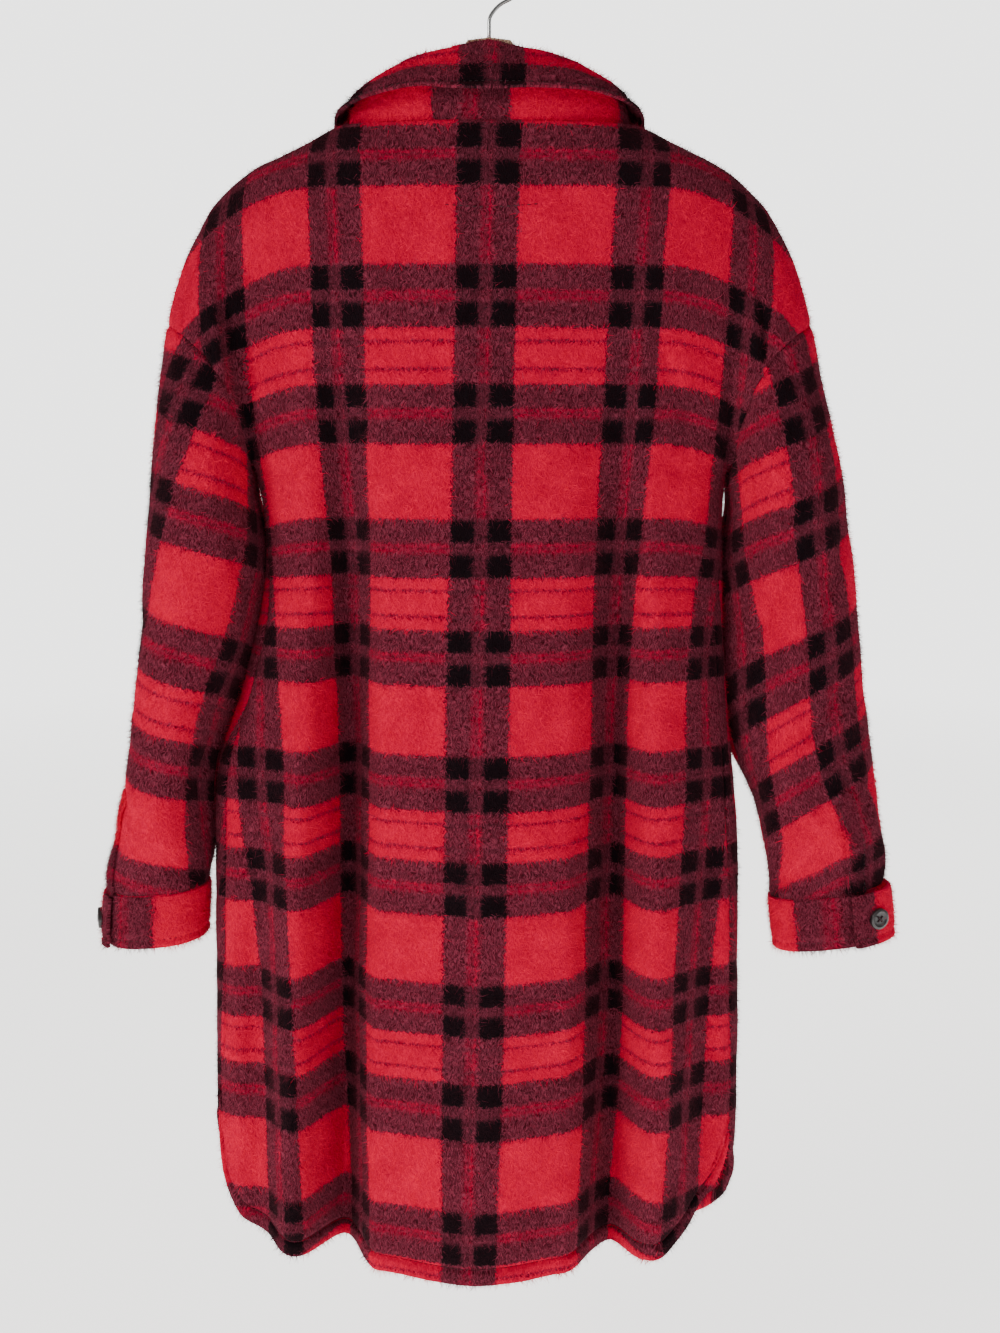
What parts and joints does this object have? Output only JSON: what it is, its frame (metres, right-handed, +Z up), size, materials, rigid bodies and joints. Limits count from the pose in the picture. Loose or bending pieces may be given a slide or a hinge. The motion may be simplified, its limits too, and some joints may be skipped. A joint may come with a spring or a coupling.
{
  "type": "shirt jacket on a hanger",
  "caption": "Long shirt jacket of thick brushed plaid wool with dropped shoulders, shirt collar, button cuffs and a curved shirt-tail hem, hung on a wooden hanger with a wire hook.",
  "frame": {"origin": "inside of the hook's top bend, where a rail carries the hanger", "axes": "+Z up, the garment's back faces +Y and its front -Y, the wearer's left is +X"},
  "size_m": [0.6871, 0.1669, 1.1079],
  "materials": {
    "brushed_wool": "brushed, hairy plaid wool",
    "dark_horn": "satin dark horn",
    "pale_wood": "satin lacquered",
    "bright_steel": "bright plated wire"
  },
  "bodies": {
    "root": {"back_panel": "brushed_wool", "front_left": "brushed_wool", "front_right": "brushed_wool", "front_band": "brushed_wool", "sleeve_left": "brushed_wool", "sleeve_right": "brushed_wool", "sleeve_placket_left": "brushed_wool", "sleeve_placket_right": "brushed_wool", "cuff_left": "brushed_wool", "cuff_right": "brushed_wool", "collar_stand": "brushed_wool", "collar_leaf": "brushed_wool", "pocket_left": "brushed_wool", "pocket_right": "brushed_wool", "front_button_1": "dark_horn", "front_button_2": "dark_horn", "front_button_3": "dark_horn", "front_button_4": "dark_horn", "front_button_5": "dark_horn", "front_button_6": "dark_horn", "cuff_button_left": "dark_horn", "cuff_button_right": "dark_horn", "hanger_bar": "pale_wood", "hanger_hook": "bright_steel"}
  },
  "joints": []
}
